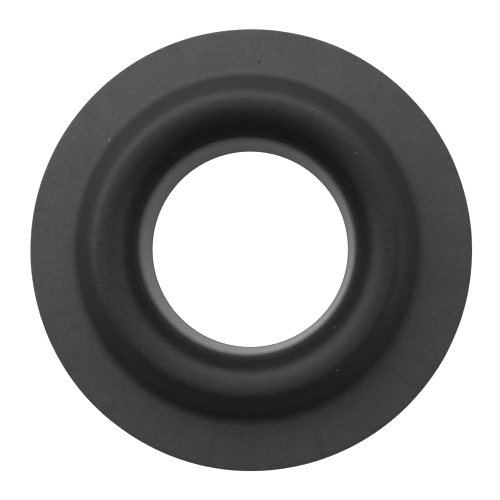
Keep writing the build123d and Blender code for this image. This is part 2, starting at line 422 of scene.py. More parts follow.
def makeDrawnGroup():
    # streaks round or along the drain's axis, as a draw, a trim or a mould core leaves them
    group, given, result = newGroup("drawn streaks", [
        ("Across Size", "NodeSocketFloat", 0.0005), ("Along Axis", "NodeSocketFloat", 1.0),
    ], [("Streak", "NodeSocketFloat")])
    x, y, z = splitPoint(group, objectPoint(group))
    radius = axisDistance(group, x, y)
    # the direction from the axis, so that the pattern closes on itself
    towards = [times(group, calc(group, "DIVIDE", side, radius), 0.036) for side in (x, y)]
    stretch = 0.03
    alongAxis = place(group, "ShaderNodeCombineXYZ", {
        "X": towards[0], "Y": towards[1], "Z": times(group, z, stretch),
    }).outputs[0]
    roundAxis = place(group, "ShaderNodeCombineXYZ", {
        "X": plus(group, radius, times(group, towards[0], stretch)),
        "Y": z, "Z": times(group, towards[1], stretch),
    }).outputs[0]
    mixed = place(group, "ShaderNodeMix", {
        0: given.outputs["Along Axis"], 4: roundAxis, 5: alongAxis,
    }, data_type="VECTOR").outputs[1]
    scale = calc(group, "DIVIDE", 1.0, given.outputs["Across Size"])
    group.links.new(noise(group, mixed, scale, 4.0, 0.65), result.inputs["Streak"])
    return group


grainGroup = makeGrainGroup()
mottleGroup = makeMottleGroup()
scuffGroup = makeScuffGroup()
dustGroup = makeDustGroup()
foamGroup = makeFoamGroup()
drawnGroup = makeDrawnGroup()
print("finishes ready")


def newMaterial(name, **settings):
    material = bpy.data.materials.new(name)
    material.use_nodes = True
    tree = material.node_tree
    shader = tree.nodes["Principled BSDF"]
    for key, value in settings.items():
        shader.inputs[key.replace("_", " ")].default_value = value
    return material, tree, shader


def finishShader(tree, shader, colour, rough, height, depth, strength):
    bump = place(tree, "ShaderNodeBump", {"Height": height, "Distance": depth, "Strength": strength})
    for label, output in (("Base Color", colour), ("Roughness", rough), ("Normal", bump.outputs[0])):
        tree.links.new(output, shader.inputs[label])


def radiusAndAngle(tree):
    x, y, z = splitPoint(tree, objectPoint(tree))
    return axisDistance(tree, x, y), calc(tree, "ARCTAN2", y, x)


# The drain horn and the cover share the line of the bead and of the horn's mouth

bead = {
    "crestRadius": 45.4, "crestHeight": 17.0, "outerRound": 6.2, "innerRound": 9.5, "flankSlope": 60.0,
    "rimFace": 7.5, "footRound": 4.0, "mouthSlope": 55.0, "boreRadius": 34.0, "mouthRound": 7.0,
    "seamRadius": 35.6, "seamRound": 0.02, "hornWall": 2.0, "lipBottom": 8.0, "lipRadius": 40.3,
}
outerCentre = (bead["crestRadius"], bead["crestHeight"] - bead["outerRound"])
innerCentre = (bead["crestRadius"], bead["crestHeight"] - bead["innerRound"])
flankAngle = 90 - bead["flankSlope"]
backReach = bead["outerRound"] + bead["footRound"]
flankDrop = outerCentre[1] + backReach * sin(radians(flankAngle)) - bead["rimFace"] - bead["footRound"]
footCentre = (
    bead["crestRadius"] + backReach * cos(radians(flankAngle)) + flankDrop * tan(radians(flankAngle)),
    bead["rimFace"] + bead["footRound"],
)
mouthAngle = 90 + bead["mouthSlope"]
steepness = tan(radians(bead["mouthSlope"]))
funnelTop = onCircle(innerCentre, bead["innerRound"], mouthAngle)
mouthRadius = bead["boreRadius"] + bead["mouthRound"]
funnelEnd = mouthRadius + bead["mouthRound"] * cos(radians(mouthAngle))
funnelEndHeight = funnelTop[1] - (funnelTop[0] - funnelEnd) * steepness
mouthCentre = (mouthRadius, funnelEndHeight - bead["mouthRound"] * sin(radians(mouthAngle)))
seam = (bead["seamRadius"], funnelEndHeight + (bead["seamRadius"] - funnelEnd) * steepness)
seamBack = (
    seam[0] + bead["hornWall"] * sin(radians(bead["mouthSlope"])),
    seam[1] - bead["hornWall"] * cos(radians(bead["mouthSlope"])),
)
mouthBack = bead["mouthRound"] - bead["hornWall"]
lipRise = bead["lipBottom"] - mouthCentre[1]
lipAngle = 180 - degrees(atan2(lipRise, sqrt(mouthBack**2 - lipRise**2)))


# Flange cover: the soft moulding with the rim and the bead

cover = {
    "rimRadius": 70.0, "skin": 2.0, "skirtRadius": 67.6, "skirtBottom": 0.8,
    "hookRadius": 65.0, "hookTop": 2.15, "rimEdgeRound": 0.6, "skirtEdgeRound": 0.5,
    "segments": 560, "seed": 3.0, "trimOffset": (1.0, -0.75), "ripple": 0.16, "wave": 0.08,
    "spokes": 12, "firstSpoke": 20.0, "sinkDepth": 0.05, "sinkHalfWidth": 1.7,
    "rimColour": grey(0.05, 0.02), "beadColour": grey(0.007, 0.02), "rimPatch": 11.0, "beadPatch": 14.0,
    "rimContrast": 0.26, "beadContrast": 0.15, "dustSpacing": 8.0, "dustSize": 0.45, "dustAmount": 0.7,
    "rimRoughness": 0.62, "beadRoughness": 0.42, "rimSpeckle": 1.6, "beadSpeckle": 3.0,
    "beadStreak": 1.8, "beadFleck": 3.2, "rimFinishAndPaintedLight": ((48.5, 52.5, 0.33), (54.0, 57.3, 0.67)),
    "flankDulling": (46.5, 50.5), "sinkShadeHalfWidth": 2.2, "sinkShadeGrowth": (56.0, 66.0, 0.3),
    # how far from the skirt the trimmed outline moves the wall, the top face and the underside
    "wallBand": (1.1, 1.2), "topBand": (-8.0, 1.4), "lowBand": (-2.4, 1.2),
    "topDepth": 1.2, "footFade": 2.0, "sinkGrowth": (58.0, 67.0, 0.55),
    "pinhole": (3.8, 58.7), "pinholeSize": 0.75,
}


def makeCoverOutline():
    skin = cover["skin"]
    belly, foot = bead["innerRound"] - skin, bead["footRound"] + skin
    bellyAngle = degrees(acos((bead["lipRadius"] - innerCentre[0]) / belly))
    lipStart = onCircle(mouthCentre, mouthBack, lipAngle)
    rim, face = cover["rimRadius"], bead["rimFace"]
    footEnd = onCircle(footCentre, bead["footRound"], -90)
    inside = [lipStart, (bead["lipRadius"], bead["lipBottom"])]
    inside += arcRun(innerCentre, belly, bellyAngle, 90, 10)
    inside += arcRun(outerCentre, bead["outerRound"] - skin, 90, flankAngle, 10)[1:]
    inside += arcRun(footCentre, foot, flankAngle + 180, 270, 12)
    inside += [
        (cover["skirtRadius"], face - skin), (cover["skirtRadius"], cover["hookTop"]),
        (cover["hookRadius"], cover["hookTop"]), (cover["hookRadius"], cover["skirtBottom"]),
    ]
    outside = cornerRun(inside[-1], (rim, cover["skirtBottom"]), (rim, face), cover["skirtEdgeRound"], 4)
    outside += cornerRun((rim, cover["skirtBottom"]), (rim, face), footEnd, cover["rimEdgeRound"], 6)
    outside += straightRun(outside[-1], footEnd, 1.0)
    back = arcRun(footCentre, bead["footRound"], 270, flankAngle + 180, 5)
    flankTop = onCircle(outerCentre, bead["outerRound"], flankAngle)
    back += straightRun(back[-1], flankTop, 0.7)
    back += arcRun(outerCentre, bead["outerRound"], flankAngle, 90, 1.8)
    back += arcRun(innerCentre, bead["innerRound"], 90, mouthAngle, 3)[1:]
    seamCorner = cornerRun(funnelTop, seam, seamBack, bead["seamRound"], 4)
    back += straightRun(funnelTop, seamCorner[0], 0.7) + seamCorner + [seamBack]
    lip = arcRun(mouthCentre, mouthBack, mouthAngle, lipAngle, 6)[:-1]
    return inside + outside + back + lip


def besideSpoke(tree, radius, angle, spokes, firstSpoke):
    # how far a point is from the middle of the nearest spoke
    turn = times(tree, minus(tree, angle, firstSpoke), calc(tree, "DIVIDE", spokes, 2 * pi))
    off = calc(tree, "ABSOLUTE", minus(tree, turn, calc(tree, "ROUND", turn)))
    return times(tree, off, calc(tree, "DIVIDE", times(tree, radius, 2 * pi), spokes))


def makeCoverTree():
    # the turned moulding with its outline trimmed off its axis, sink lines over the spokes, soft unevenness
    tree, given, result = newTree("flange cover", [
        ("Segments", "NodeSocketInt", 512),
        ("Trim Offset", "NodeSocketVector", None),
        ("Ripple", "NodeSocketFloat", 0.0),
        ("Wave", "NodeSocketFloat", 0.0),
        ("Spokes", "NodeSocketInt", 12),
        ("First Spoke", "NodeSocketFloat", 0.0),
        ("Sink Depth", "NodeSocketFloat", 0.0),
        ("Sink Half Width", "NodeSocketFloat", 0.0015),
        ("Foot Radius", "NodeSocketFloat", 0.056),
        ("Skirt Radius", "NodeSocketFloat", 0.0676),
        ("Rim Face", "NodeSocketFloat", 0.0075),
        ("Hook Height", "NodeSocketFloat", 0.0019),
        ("Seed", "NodeSocketFloat", 3.0),
        ("Material", "NodeSocketMaterial", None),
    ])
    inputs = given.outputs
    turned = turnedOutline(tree, inputs)
    x, y, z = splitPoint(tree, place(tree, "GeometryNodeInputPosition").outputs[0])
    radius = axisDistance(tree, x, y)
    angle = calc(tree, "ARCTAN2", y, x)
    outward = place(tree, "ShaderNodeCombineXYZ", {
        "X": calc(tree, "COSINE", angle), "Y": calc(tree, "SINE", angle),
    }).outputs[0]

    def roundNoise(scale, detail):
        # noise that closes on itself round the axis
        value = seededNoise(tree, outward, inputs["Seed"], scale, detail)
        return times(tree, minus(tree, value, 0.5), 2.0)

    # the outer wall moves as a whole, and the faces above and below it follow gradually
    def outwards(band):
        start, end = [plus(tree, inputs["Skirt Radius"], cover[band][n] * mm) for n in (0, 1)]
        return ramp(tree, radius, start, end)

    onTop = calc(tree, "GREATER_THAN", z, minus(tree, inputs["Rim Face"], cover["topDepth"] * mm))
    below = calc(tree, "LESS_THAN", z, inputs["Hook Height"])
    topEdge = times(tree, onTop, outwards("topBand"))
    lowEdge = times(tree, below, outwards("lowBand"))
    edge = calc(tree, "MAXIMUM", outwards("wallBand"), calc(tree, "MAXIMUM", topEdge, lowEdge))
    ripple = times(tree, roundNoise(3.5, 3.0), inputs["Ripple"], edge)
    trim = place(tree, "ShaderNodeVectorMath", {0: inputs["Trim Offset"], "Scale": edge}, operation="SCALE")
    grown = place(tree, "ShaderNodeVectorMath", {0: outward, "Scale": ripple}, operation="SCALE")
    shift = place(tree, "ShaderNodeVectorMath", {0: trim.outputs[0], 1: grown.outputs[0]}).outputs[0]
    trimmed = shifted(tree, turned, shift)

    pastFoot = plus(tree, inputs["Foot Radius"], cover["footFade"] * mm)
    pastFoot = ramp(tree, radius, inputs["Foot Radius"], pastFoot)
    onRim = times(tree, onTop, pastFoot)
    beside = besideSpoke(tree, radius, angle, inputs["Spokes"], inputs["First Spoke"])
    hollow = times(tree, ramp(tree, beside, inputs["Sink Half Width"], 0.0), inputs["Sink Depth"])
    inner, outer, share = cover["sinkGrowth"]
    deeper = ramp(tree, radius, inner * mm, outer * mm, share, 1.0)
    sink = times(tree, hollow, deeper, -1.0)
    wave = times(tree, roundNoise(1.6, 2.0), inputs["Wave"])
    lift = times(tree, plus(tree, sink, wave), onRim)
    return endTree(tree, shifted(tree, trimmed, upwards(tree, lift)), inputs["Material"], result)


def makeCoverRubber():
    material, tree, shader = newMaterial("cover rubber", Specular_IOR_Level=0.5)
    radius, angle = radiusAndAngle(tree)
    # the rim's finish fades out in two steps up the foot of the bead: partly a real matte rim against a
    # satin bead, partly painted light, as the first step lifts the colour of the bead's steep outer flank
    finishAndLightSteps = [ramp(tree, radius, low * mm, high * mm, 0.0, share) for low, high, share in cover["rimFinishAndPaintedLight"]]
    rim = plus(tree, *finishAndLightSteps)
    grain = useGroup(tree, grainGroup, Grain_Size=0.55 * mm, Coarse_Share=0.4)
    rimTone = useGroup(tree, mottleGroup, Colour=cover["rimColour"], Speckle=cover["rimSpeckle"],
                       Patch_Size=cover["rimPatch"] * mm, Contrast=cover["rimContrast"])
    beadTone = useGroup(tree, mottleGroup, Colour=cover["beadColour"], Speckle=cover["beadSpeckle"],
                        Patch_Size=cover["beadPatch"] * mm, Contrast=cover["beadContrast"])
    scuffs = useGroup(tree, scuffGroup, Line_Width=0.16 * mm, Amount=0.25)["Mask"]
    dust = useGroup(tree, dustGroup, Spacing=cover["dustSpacing"] * mm,
                    Speck_Size=cover["dustSize"] * mm, Amount=cover["dustAmount"])["Mask"]
    # painted shade: the lines over the spokes are darker, as shade in the shallow sink grooves
    beside = besideSpoke(tree, radius, angle, cover["spokes"], radians(cover["firstSpoke"]))
    sinkShade = ramp(tree, beside, cover["sinkShadeHalfWidth"] * mm, 0.0)
    inner, outer, share = cover["sinkShadeGrowth"]
    sinkShade = times(tree, sinkShade, ramp(tree, radius, inner * mm, outer * mm, share, 1.0))
    spoke = times(tree, sinkShade, rim)
    # one pinhole left by a bubble: a dent in the bump, with painted shade darkening its inside
    hole = place(tree, "ShaderNodeVectorMath", {
        0: objectPoint(tree), 1: (cover["pinhole"][0] * mm, cover["pinhole"][1] * mm, bead["rimFace"] * mm),
    }, operation="DISTANCE").outputs["Value"]
    pinholeDentAndShade = ramp(tree, hole, cover["pinholeSize"] * mm, 0.1 * mm)
    # the rim mask mixes bead and rim tones; its lift on the bead's outer flank is painted light
    colour = mixColour(tree, rim, beadTone["Colour"], rimTone["Colour"])
    # painted shade along the sink grooves over the spokes
    colour = mixColour(tree, times(tree, spoke, 0.16), colour, grey(0.01))
    colour = mixColour(tree, times(tree, scuffs, 0.10), colour, grey(0.16))
    colour = mixColour(tree, times(tree, dust, 0.5), colour, grey(0.45))
    # painted shade inside the pinhole
    colour = mixColour(tree, pinholeDentAndShade, colour, grey(0.004))
    # the bead's outer flank is already as dull as the rim
    inner, outer = cover["flankDulling"]
    rough = ramp(tree, radius, inner * mm, outer * mm, cover["beadRoughness"], cover["rimRoughness"])
    rough = plus(tree, rough, times(tree, minus(tree, grain["Shade"], 0.5), 0.08))
    rough = plus(tree, rough, times(tree, scuffs, 0.08))
    # the bead keeps fine streaks across its line from the mould
    streak = useGroup(tree, drawnGroup, Across_Size=0.35 * mm, Along_Axis=1.0)["Streak"]
    across = times(tree, streak, ramp(tree, rim, 0.0, 1.0, cover["beadStreak"], 0.0))
    flecks = times(tree, rimTone["Fleck"], ramp(tree, rim, 0.0, 1.0, cover["beadFleck"], 0.0))
    texture = plus(tree, grain["Height"], plus(tree, across, flecks))
    height = minus(tree, texture, times(tree, pinholeDentAndShade, 4.0))
    finishShader(tree, shader, colour, rough, height, 0.05 * mm, 0.8)
    return material


coverPiece = applyTree(outlinePiece("flangeCover", makeCoverOutline()), makeCoverTree(), {
    "Segments": cover["segments"],
    "Trim Offset": (cover["trimOffset"][0] * mm, cover["trimOffset"][1] * mm, 0.0),
    "Ripple": cover["ripple"] * mm, "Wave": cover["wave"] * mm,
    "Spokes": cover["spokes"], "First Spoke": radians(cover["firstSpoke"]),
    "Sink Depth": cover["sinkDepth"] * mm, "Sink Half Width": cover["sinkHalfWidth"] * mm,
    "Foot Radius": footCentre[0] * mm, "Skirt Radius": cover["skirtRadius"] * mm,
    "Rim Face": bead["rimFace"] * mm, "Hook Height": (cover["hookTop"] - 0.25) * mm, "Seed": cover["seed"],
    "Material": makeCoverRubber(),
})
finishPiece(coverPiece, "cover_rubber", "flange_cover")


# Drain horn: the glossy tube with its flared mouth

horn = {
    "endHeight": -32.0, "endChamfer": 0.5, "dripLip": 0.2, "dripLipHeight": 1.0,
    "shoulderRadius": 39.8, "shoulderBottom": 6.5, "shoulderRound": 0.3,
    "grooveRadius": 35.2, "groove": (-6.3, -4.5), "recess": (-29.0, -11.0),
    "segments": 400, "colour": grey(0.03, 0.03), "roughness": 0.07,
    "mouthRoughness": 0.24, "mouthDepths": (-8.0, 6.0),
}


def makeHornOutline():
    tube = bead["boreRadius"] + bead["hornWall"]
    bore, end = bead["boreRadius"], horn["endHeight"]
    (recessLow, recessHigh), (grooveLow, grooveHigh) = horn["recess"], horn["groove"]
    points = [
        (bore - horn["dripLip"], end), (tube - horn["endChamfer"], end), (tube, end + horn["endChamfer"]),
        (tube, recessLow), (horn["grooveRadius"], recessLow), (horn["grooveRadius"], recessHigh),
        (tube, recessHigh), (tube, grooveLow), (horn["grooveRadius"], grooveLow),
        (horn["grooveRadius"], grooveHigh), (tube, grooveHigh), (tube, horn["shoulderBottom"]),
    ]
    shoulder, top = horn["shoulderRadius"], bead["lipBottom"]
    ledge, rounding = (shoulder, horn["shoulderBottom"]), horn["shoulderRound"]
    points += cornerRun(points[-1], ledge, (shoulder, top), rounding, 3)
    points += cornerRun(ledge, (shoulder, top), (tube, top), rounding, 3)
    points += arcRun(mouthCentre, mouthBack, lipAngle, mouthAngle, 4) + [seamBack]
    inside = arcRun(mouthCentre, bead["mouthRound"], mouthAngle, 180, 2.5)
    points += cornerRun(seamBack, seam, inside[0], bead["seamRound"], 4)
    points += straightRun(points[-1], inside[0], 0.6) + inside
    # the drip lip blends into the bore
    drip = end + horn["dripLipHeight"]
    return points + straightRun(inside[-1], (bore, drip), 1.5) + [(bore, drip)]


def makeHornPlastic():
    material, tree, shader = newMaterial("horn plastic", Specular_IOR_Level=0.5)
    tone = useGroup(tree, mottleGroup, Colour=horn["colour"], Patch_Size=12 * mm, Contrast=0.2)
    streak = useGroup(tree, drawnGroup, Across_Size=0.9 * mm, Along_Axis=1.0)["Streak"]
    fineStreak = useGroup(tree, drawnGroup, Across_Size=0.25 * mm, Along_Axis=1.0)["Streak"]
    scuffs = useGroup(tree, scuffGroup, Line_Width=0.25 * mm, Amount=0.3)["Mask"]
    colour = mixColour(tree, times(tree, scuffs, 0.06), tone["Colour"], grey(0.12))
    # the bore is polished and the mouth is duller
    low, high = horn["mouthDepths"]
    z = splitPoint(tree, objectPoint(tree))[2]
    rough = ramp(tree, z, low * mm, high * mm, horn["roughness"], horn["mouthRoughness"])
    rough = plus(tree, rough, ramp(tree, streak, 0.3, 0.7, -0.03, 0.04))
    rough = plus(tree, rough, times(tree, scuffs, 0.05))
    height = plus(tree, times(tree, streak, 0.7), times(tree, fineStreak, 0.3))
    finishShader(tree, shader, colour, rough, height, 0.02 * mm, 0.4)
    return material


hornPiece = applyTree(outlinePiece("drainHorn", makeHornOutline()), turnTree, {
    "Segments": horn["segments"], "Material": makeHornPlastic(),
})
finishPiece(hornPiece, "horn_plastic", "drain_horn")


# Carrier: hub, web, gasket channel, spokes and hoop

carrier = {
    "hubRadius": 36.4, "hubOutside": 38.6, "hubBottom": -4.4, "webTop": 5.5, "webBottom": 3.5,
    "webRadius": 55.8, "wallBottom": 1.2, "innerWall": (40.4, 42.0), "outerWall": (53.6, 55.4),
    "hoop": (64.9, 67.5), "hoopBottom": 2.25, "hoopRound": 0.4, "hoopInnerRound": 0.2, "edgeRound": 0.25,
    "spokeInner": 54.1, "spokeOuter": 65.4, "spokeDeepEnd": 64.7, "spokeWidth": 2.0, "spokeBottom": 1.6,
    "spokes": 12, "firstSpoke": 20.0, "spokeRound": 0.3, "spokeBevel": 0.2, "segments": 240,
    "colour": grey(0.045, 0.03), "roughness": 0.5,
}


def makeCarrierOutline():
    r, top, low, wall = carrier["edgeRound"], carrier["webTop"], carrier["webBottom"], carrier["wallBottom"]
    (innerA, innerB), (outerA, outerB) = carrier["innerWall"], carrier["outerWall"]
    return roundedOutline([
        (carrier["hubRadius"], carrier["hubBottom"], r), (carrier["hubOutside"], carrier["hubBottom"], r),
        (carrier["hubOutside"], low, r), (innerA, low, r), (innerA, wall, r), (innerB, wall, r),
        (innerB, low, 0), (outerA, low, 0), (outerA, wall, r), (outerB, wall, r), (outerB, low, 0),
        (carrier["webRadius"], low, r), (carrier["webRadius"], top, r), (carrier["hubRadius"], top, r),
    ])


def makeHoopOutline():
    (inside, outside), r, inner = carrier["hoop"], carrier["hoopRound"], carrier["hoopInnerRound"]
    return roundedOutline([
        (inside, carrier["hoopBottom"], inner), (outside, carrier["hoopBottom"], r),
        (outside, carrier["webTop"], r), (inside, carrier["webTop"], inner),
    ])


def makeSpokeMesh():
    # one spoke along +X: flat over its whole length, deeper where it clears the cover's hook
    edge, half, bottom = carrier["spokeRound"], carrier["spokeWidth"] / 2, carrier["spokeBottom"]
    deep = [
        (carrier["spokeInner"], bottom), (carrier["spokeDeepEnd"] - edge, bottom),
        (carrier["spokeDeepEnd"], bottom + edge), (carrier["spokeDeepEnd"], carrier["hoopBottom"]),
        (carrier["spokeOuter"], carrier["hoopBottom"]), (carrier["spokeOuter"], carrier["webTop"]),
        (carrier["spokeInner"], carrier["webTop"]),
    ]
    count = len(deep)
    points = [(x * mm, side * half * mm, z * mm) for side in (-1, 1) for x, z in deep]
    sides = [(n, (n + 1) % count, count + (n + 1) % count, count + n) for n in range(count)]
    mesh = bpy.data.meshes.new("spoke")
    mesh.from_pydata(points, [], [tuple(range(count)), tuple(reversed(range(count, 2 * count)))] + [
        tuple(reversed(side)) for side in sides
    ])
    spoke = bpy.data.objects.new("spoke", mesh)
    bpy.context.collection.objects.link(spoke)
    bevel = spoke.modifiers.new("edges", "BEVEL")
    bevel.width, bevel.segments, bevel.limit_method = carrier["spokeBevel"] * mm, 3, "ANGLE"
    mesh = bpy.data.meshes.new_from_object(spoke.evaluated_get(bpy.context.evaluated_depsgraph_get()))
    spoke.modifiers.clear()
    spoke.data = mesh
    return spoke


def makeCarrierTree():
    # the turned rings, joined to a ring of spokes
    tree, given, result = newTree("spoked carrier", [
        ("Segments", "NodeSocketInt", 240),
        ("Spoke", "NodeSocketObject", None),
        ("Spokes", "NodeSocketInt", 12),
        ("First Spoke", "NodeSocketFloat", 0.0),
        ("Material", "NodeSocketMaterial", None),
    ])
    inputs = given.outputs
    turned = turnedOutline(tree, inputs)
    points = place(tree, "GeometryNodePoints", {"Count": inputs["Spokes"]}).outputs[0]
    number = place(tree, "GeometryNodeInputIndex").outputs[0]
    step = calc(tree, "DIVIDE", 2 * pi, inputs["Spokes"])
    turn = plus(tree, inputs["First Spoke"], times(tree, number, step))
    spokes = place(tree, "GeometryNodeInstanceOnPoints", {
        "Points": points,
        "Instance": place(tree, "GeometryNodeObjectInfo", {"Object": inputs["Spoke"]}).outputs["Geometry"],
        "Rotation": upwards(tree, turn),
    }).outputs[0]
    joined = tree.nodes.new("GeometryNodeJoinGeometry")
    tree.links.new(spokes, joined.inputs[0])
    tree.links.new(turned, joined.inputs[0])
    return endTree(tree, joined.outputs[0], inputs["Material"], result)


def makeCarrierPlastic():
    material, tree, shader = newMaterial("carrier plastic", Specular_IOR_Level=0.45)
    tone = useGroup(tree, mottleGroup, Colour=carrier["colour"], Patch_Size=8 * mm, Contrast=0.3)
    grain = useGroup(tree, grainGroup, Grain_Size=0.35 * mm, Coarse_Share=0.2)
    scuffs = useGroup(tree, scuffGroup, Line_Width=0.2 * mm, Amount=0.5)["Mask"]
    colour = mixColour(tree, times(tree, scuffs, 0.2), tone["Colour"], grey(0.18))
    rough = ramp(tree, grain["Shade"], 0.0, 1.0, carrier["roughness"] - 0.05, carrier["roughness"] + 0.08)
    finishShader(tree, shader, colour, rough, grain["Height"], 0.02 * mm, 0.5)
    return material


carrierPlastic = makeCarrierPlastic()
spokeSource = makeSpokeMesh()
carrierPiece = applyTree(outlinePiece("carrierRing", makeCarrierOutline()), makeCarrierTree(), {
    "Segments": carrier["segments"], "Spoke": spokeSource, "Spokes": carrier["spokes"],
    "First Spoke": radians(carrier["firstSpoke"]), "Material": carrierPlastic,
})
bpy.data.objects.remove(spokeSource)
finishPiece(carrierPiece, "carrier_plastic", "carrier_ring")
hoopPiece = applyTree(outlinePiece("carrierHoop", makeHoopOutline()), turnTree, {
    "Segments": carrier["segments"], "Material": carrierPlastic,
})
finishPiece(hoopPiece, "carrier_plastic", "carrier_ring")


# Pipe seal: the soft sleeve with swept fins

pipeSeal = {
    "bore": 35.25, "sleeve": 37.0, "low": -28.9, "high": -11.1, "finRadius": 41.0,
    "finRoots": (-25.0, -19.5, -14.0), "finHalf": 1.0, "finRise": 2.2, "finTip": 1.0,
    "boreRound": 0.15, "lowRound": 0.3, "highRound": 0.1, "rootRounds": (0.5, 0.4), "tipRound": 0.25,
    "flutter": 0.12, "seed": 5.0, "segments": 320,
    "colour": grey(0.03, 0.02), "roughness": 0.45, "grain": 0.3, "dust": 0.3,
}


def makeSealOutline():
    sleeve, half, tip = pipeSeal["sleeve"], pipeSeal["finHalf"], pipeSeal["finTip"] / 2
    (under, over), tipRound, boreRound = pipeSeal["rootRounds"], pipeSeal["tipRound"], pipeSeal["boreRound"]
    low = pipeSeal["low"]
    corners = [(pipeSeal["bore"], low, boreRound), (sleeve, low, pipeSeal["lowRound"])]
    for root in pipeSeal["finRoots"]:
        end = root + pipeSeal["finRise"]
        corners += [
            (sleeve, root - half, under), (pipeSeal["finRadius"], end - tip, tipRound),
            (pipeSeal["finRadius"], end + tip, tipRound), (sleeve, root + half, over),
        ]
    corners.append((sleeve, pipeSeal["high"], pipeSeal["highRound"]))
    corners.append((pipeSeal["bore"], pipeSeal["high"], boreRound))
    return divided(roundedOutline(corners), 0.8)


def makeFlutterTree():
    # the turned sleeve, whose fins rise and fall a little on their way round
    tree, given, result = newTree("soft fins", [
        ("Segments", "NodeSocketInt", 320),
        ("Root Radius", "NodeSocketFloat", 0.037),
        ("Tip Radius", "NodeSocketFloat", 0.041),
        ("Flutter", "NodeSocketFloat", 0.0001),
        ("Seed", "NodeSocketFloat", 5.0),
        ("Material", "NodeSocketMaterial", None),
    ])
    inputs = given.outputs
    turned = turnedOutline(tree, inputs)
    x, y, z = splitPoint(tree, place(tree, "GeometryNodeInputPosition").outputs[0])
    radius = axisDistance(tree, x, y)
    outward = place(tree, "ShaderNodeCombineXYZ", {
        "X": calc(tree, "DIVIDE", x, radius), "Y": calc(tree, "DIVIDE", y, radius),
        "Z": times(tree, z, 120.0),
    }).outputs[0]
    value = seededNoise(tree, outward, inputs["Seed"], 2.4)
    swing = times(tree, minus(tree, value, 0.5), 2.0)
    share = ramp(tree, radius, inputs["Root Radius"], inputs["Tip Radius"])
    rise = times(tree, swing, share, inputs["Flutter"])
    return endTree(tree, shifted(tree, turned, upwards(tree, rise)), inputs["Material"], result)


def makeSoftRubber(name, piece):
    roughness = piece["roughness"]
    material, tree, shader = newMaterial(name, Specular_IOR_Level=0.5)
    tone = useGroup(tree, mottleGroup, Colour=piece["colour"], Patch_Size=7 * mm, Contrast=0.25)
    grain = useGroup(tree, grainGroup, Grain_Size=piece["grain"] * mm, Coarse_Share=0.3)
    streak = useGroup(tree, drawnGroup, Across_Size=0.7 * mm, Along_Axis=0.0)["Streak"]
    dust = useGroup(tree, dustGroup, Spacing=5 * mm, Speck_Size=0.2 * mm, Amount=piece["dust"])["Mask"]
    colour = mixColour(tree, times(tree, dust, 0.5), tone["Colour"], grey(0.45))
    rough = ramp(tree, streak, 0.3, 0.7, roughness - 0.05, roughness + 0.06)
    finishShader(tree, shader, colour, rough, grain["Height"], 0.02 * mm, 0.4)
    return material


sealPiece = applyTree(outlinePiece("pipeSeal", makeSealOutline()), makeFlutterTree(), {
    "Segments": pipeSeal["segments"], "Root Radius": pipeSeal["sleeve"] * mm,
    "Tip Radius": pipeSeal["finRadius"] * mm, "Flutter": pipeSeal["flutter"] * mm,
    "Seed": pipeSeal["seed"], "Material": makeSoftRubber("seal rubber", pipeSeal),
})
finishPiece(sealPiece, "seal_rubber", "pipe_seal")


# Horn washer

washer = {
    "inside": 36.4, "outside": 39.6, "low": 5.5, "high": 6.5, "edgeRound": 0.3, "segments": 180,
    "colour": grey(0.05), "roughness": 0.6, "grain": 0.4, "dust": 0.2,
}


def makeWasherOutline():
    r = washer["edgeRound"]
    return roundedOutline([
        (washer["inside"], washer["low"], r), (washer["outside"], washer["low"], r),
        (washer["outside"], washer["high"], r), (washer["inside"], washer["high"], r),
    ])


washerPiece = applyTree(outlinePiece("hornWasher", makeWasherOutline()), turnTree, {
    "Segments": washer["segments"], "Material": makeSoftRubber("washer rubber", washer),
})
finishPiece(washerPiece, "washer_rubber", "horn_washer")


# Foam pieces: the core inside the bead and the gasket on the floor flange

foam = {
    "gasketInside": 42.1, "gasketOutside": 53.5, "gasketTop": 3.5, "gasketRound": 0.9,
    "coreGap": 0.15, "coreEdge": 52.6, "coreBottom": 5.5, "unevenness": 0.06, "segments": 260,
    "gasketColour": grey(0.07, 0.03), "coreColour": grey(0.12, 0.02), "cellSize": 0.45,
}


def makeGasketOutline():
    inside, outside, top = foam["gasketInside"], foam["gasketOutside"], foam["gasketTop"]
    r = foam["gasketRound"]
    lower = cornerRun((inside, top), (inside, 0.0), (outside, 0.0), r)
    lower += cornerRun((inside, 0.0), (outside, 0.0), (outside, top), r)
    return divided(lower + [(outside, top), (inside, top)], 0.8)


def makeCoreOutline():
    gap = foam["coreGap"]
    innerEdge = bead["lipRadius"] + gap
    footSide = bead["footRound"] + cover["skin"] + gap
    innerBack = bead["innerRound"] - cover["skin"] - gap
    outerBack = bead["outerRound"] - cover["skin"] - gap
    footEnd = -degrees(acos((foam["coreEdge"] - footCentre[0]) / footSide))
    backEnd = degrees(acos((innerEdge - innerCentre[0]) / innerBack))
    points = [(innerEdge, foam["coreBottom"]), (foam["coreEdge"], foam["coreBottom"])]
    points += arcRun(footCentre, footSide, footEnd, flankAngle - 180, 6)
    points += arcRun(outerCentre, outerBack, flankAngle, 90, 6)
    points += arcRun(innerCentre, innerBack, 90, backEnd, 6)[1:]
    return divided(points, 1.0)


def makeFoamTree():
    # the turned ring with a skin that is pushed inwards here and there, never out of its space
    tree, given, result = newTree("foam ring", [
        ("Segments", "NodeSocketInt", 260),
        ("Unevenness", "NodeSocketFloat", 0.00006),
        ("Lump Size", "NodeSocketFloat", 0.003),
        ("Seed", "NodeSocketFloat", 2.0),
        ("Material", "NodeSocketMaterial", None),
    ])
    inputs = given.outputs
    turned = turnedOutline(tree, inputs)
    where = place(tree, "GeometryNodeInputPosition").outputs[0]
    value = seededNoise(tree, where, inputs["Seed"], calc(tree, "DIVIDE", 1.0, inputs["Lump Size"]))
    depth = times(tree, value, inputs["Unevenness"], -1.0)
    push = place(tree, "ShaderNodeVectorMath", {
        0: place(tree, "GeometryNodeInputNormal").outputs[0], "Scale": depth,
    }, operation="SCALE").outputs[0]
    return endTree(tree, shifted(tree, turned, push), inputs["Material"], result)


